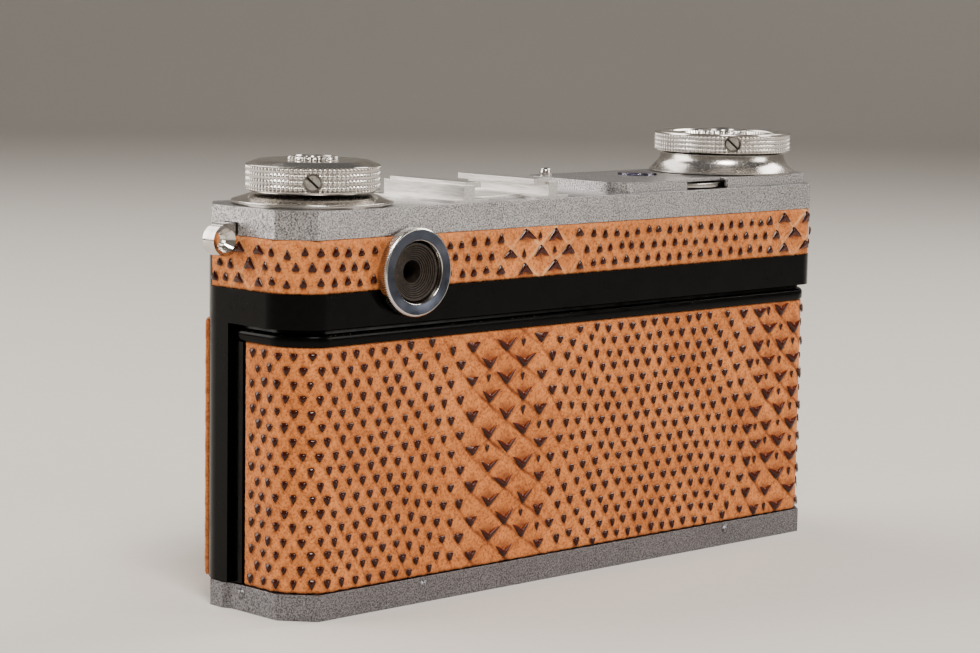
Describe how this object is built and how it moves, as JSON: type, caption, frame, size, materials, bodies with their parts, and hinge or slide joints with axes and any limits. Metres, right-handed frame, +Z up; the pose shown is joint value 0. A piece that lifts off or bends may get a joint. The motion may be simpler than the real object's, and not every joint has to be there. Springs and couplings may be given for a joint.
{
  "type": "rangefinder camera",
  "caption": "Eight-sided 35 mm rangefinder camera with leather covering, wind and rewind knobs, accessory shoe, lift-off back, focusing wheel and compact lens.",
  "frame": {"origin": "middle of the base plate's underside, on the centre line of the body without the lens", "axes": "+Z up through the top cover, +Y out of the rear cover, -Y the way the lens looks, +X towards the rewind knob"},
  "size_m": [0.1458, 0.0595, 0.08],
  "materials": {
    "satin_chrome": "satin chrome over a fine blasted surface",
    "bright_chrome": "polished chrome",
    "black_enamel": "gloss black stove enamel",
    "blackened_metal": "matt blackened metal",
    "covering": "tan embossed leather with dark glossy scales",
    "glass": "coated optical glass",
    "brass": "plain brass",
    "steel": "plain steel"
  },
  "bodies": {
    "root": {"body_casting": "black_enamel", "top_cover": "satin_chrome", "wind_deck": "satin_chrome", "counter_window": "glass", "accessory_shoe": "satin_chrome", "strap_lug_rewind_side": "bright_chrome", "strap_lug_wind_side": "bright_chrome", "upper_leather": "covering", "front_leather_rewind_side": "covering", "front_leather_wind_side": "covering", "rewind_flange": "bright_chrome", "eyepiece_ring": "bright_chrome", "eyepiece_cell": "blackened_metal", "eyepiece_glass": "glass", "finder_tube": "blackened_metal", "beam_splitter": "glass", "rangefinder_prism": "glass", "finder_faceplate": "satin_chrome", "finder_window": "glass", "rangefinder_window": "glass", "shutter_crate": "blackened_metal", "shutter_blind": "blackened_metal", "film_gate": "steel", "lens_mount_ring": "bright_chrome", "focus_wheel_housing": "satin_chrome"},
    "back_unit": {"rear_cover": "black_enamel", "rear_leather": "covering", "base_plate": "satin_chrome", "tripod_bush": "steel", "pressure_plate": "blackened_metal", "pressure_spring": "brass"},
    "key_rewind_side": {"lock_key_rewind_side": "bright_chrome"},
    "key_wind_side": {"lock_key_wind_side": "bright_chrome"},
    "rewind_quill": {"rewind_sleeve": "brass"},
    "rewind_group": {"rewind_knob": "bright_chrome", "rewind_grub_screw": "steel", "rewind_knob_nut": "bright_chrome", "rewind_fork_shaft": "steel"},
    "speed_collar": {"speed_dial": "bright_chrome"},
    "wind_group": {"wind_knob": "bright_chrome", "wind_grub_screw": "steel", "wind_knob_nut": "bright_chrome", "wind_gear": "brass", "wind_shaft": "steel"},
    "release": {"release_button": "bright_chrome"},
    "rewind_release": {"rewind_release_button": "bright_chrome"},
    "counter": {"frame_counter_dial": "bright_chrome"},
    "sprocket": {"film_sprocket": "steel", "sprocket_gear": "brass"},
    "spool": {"take_up_spool": "blackened_metal"},
    "upper_drum": {"shutter_drum_upper": "brass"},
    "lower_drum": {"shutter_drum_lower": "brass"},
    "focus": {"focus_ring": "bright_chrome"},
    "wheel": {"focus_wheel": "bright_chrome"},
    "lens_unit": {"lens_barrel": "satin_chrome", "filter_ring": "bright_chrome", "front_element": "glass", "rear_element": "glass"},
    "aperture": {"aperture_ring": "bright_chrome"},
    "iris_ring": {"iris": "blackened_metal"}
  },
  "joints": [
    {"name": "back_slide", "type": "slide", "parent": "root", "child": "back_unit", "axis": [0, 0, -1], "range_m": [0, 0.075]},
    {"name": "key_rewind_side_turn", "type": "hinge", "parent": "back_unit", "child": "key_rewind_side", "pos_m": [0.0527, 0, 0.001], "axis": [0, 0, -1], "range_deg": [0, 180]},
    {"name": "key_wind_side_turn", "type": "hinge", "parent": "back_unit", "child": "key_wind_side", "pos_m": [-0.0527, 0, 0.001], "axis": [0, 0, 1], "range_deg": [0, 180]},
    {"name": "rewind_lift", "type": "slide", "parent": "root", "child": "rewind_quill", "axis": [0, 0, 1], "range_m": [0, 0.006]},
    {"name": "rewind_turn", "type": "hinge", "parent": "rewind_quill", "child": "rewind_group", "pos_m": [0.0527, 0, 0.07], "axis": [0, 0, 1], "continuous": true},
    {"name": "speed_dial_turn", "type": "hinge", "parent": "root", "child": "speed_collar", "pos_m": [-0.0527, 0, 0.073], "axis": [0, 0, 1], "range_deg": [0, 300]},
    {"name": "wind_turn", "type": "hinge", "parent": "root", "child": "wind_group", "pos_m": [-0.0527, 0, 0.077], "axis": [0, 0, -1], "continuous": true},
    {"name": "release_press", "type": "slide", "parent": "wind_group", "child": "release", "axis": [0, 0, -1], "range_m": [0, 0.0016], "stiffness_N_per_m": 400, "springref_m": -0.002},
    {"name": "rewind_release_press", "type": "slide", "parent": "root", "child": "rewind_release", "axis": [0, 0, -1], "range_m": [0, 0.0012], "stiffness_N_per_m": 300, "springref_m": -0.002},
    {"name": "counter_turn", "type": "hinge", "parent": "root", "child": "counter", "pos_m": [-0.0342, 0.0034, 0.07], "axis": [0, 0, -1], "continuous": true},
    {"name": "sprocket_turn", "type": "hinge", "parent": "root", "child": "sprocket", "pos_m": [-0.0336, 0.0032, 0.03], "axis": [0, 0, -1], "continuous": true},
    {"name": "take_up_turn", "type": "hinge", "parent": "root", "child": "spool", "pos_m": [-0.0527, 0, 0.03], "axis": [0, 0, -1], "continuous": true},
    {"name": "upper_drum_turn", "type": "hinge", "parent": "root", "child": "upper_drum", "pos_m": [0.012, 0.0018, 0.0434], "axis": [1, 0, 0], "continuous": true},
    {"name": "lower_drum_turn", "type": "hinge", "parent": "root", "child": "lower_drum", "pos_m": [0.012, 0.0018, 0.011], "axis": [1, 0, 0], "continuous": true},
    {"name": "focus_ring_turn", "type": "hinge", "parent": "root", "child": "focus", "pos_m": [0.012, -0.022, 0.027], "axis": [0, -1, 0], "range_deg": [0, 270]},
    {"name": "focus_wheel_turn", "type": "hinge", "parent": "root", "child": "wheel", "pos_m": [-0.055, -0.0163, 0.0658], "axis": [0, 1, 0], "range_deg": [0, 810]},
    {"name": "lens_advance", "type": "slide", "parent": "root", "child": "lens_unit", "axis": [0, -1, 0], "range_m": [0, 0.0026]},
    {"name": "aperture_turn", "type": "hinge", "parent": "lens_unit", "child": "aperture", "pos_m": [0.012, -0.035, 0.027], "axis": [0, -1, 0], "range_deg": [0, 75]},
    {"name": "iris_turn", "type": "hinge", "parent": "lens_unit", "child": "iris_ring", "pos_m": [0.012, -0.0223, 0.027], "axis": [0, -1, 0], "range_deg": [0, 75]}
  ],
  "couplings": [
    {"joint": "counter_turn", "follows": "wind_turn", "ratio": 0.025},
    {"joint": "sprocket_turn", "follows": "wind_turn", "ratio": -1.375},
    {"joint": "take_up_turn", "follows": "wind_turn", "ratio": 1},
    {"joint": "upper_drum_turn", "follows": "wind_turn", "ratio": 1},
    {"joint": "lower_drum_turn", "follows": "wind_turn", "ratio": 1},
    {"joint": "focus_ring_turn", "follows": "lens_advance", "rad_per_m": 1812.5},
    {"joint": "focus_wheel_turn", "follows": "lens_advance", "rad_per_m": 5437.4},
    {"joint": "iris_turn", "follows": "aperture_turn", "ratio": 1}
  ]
}
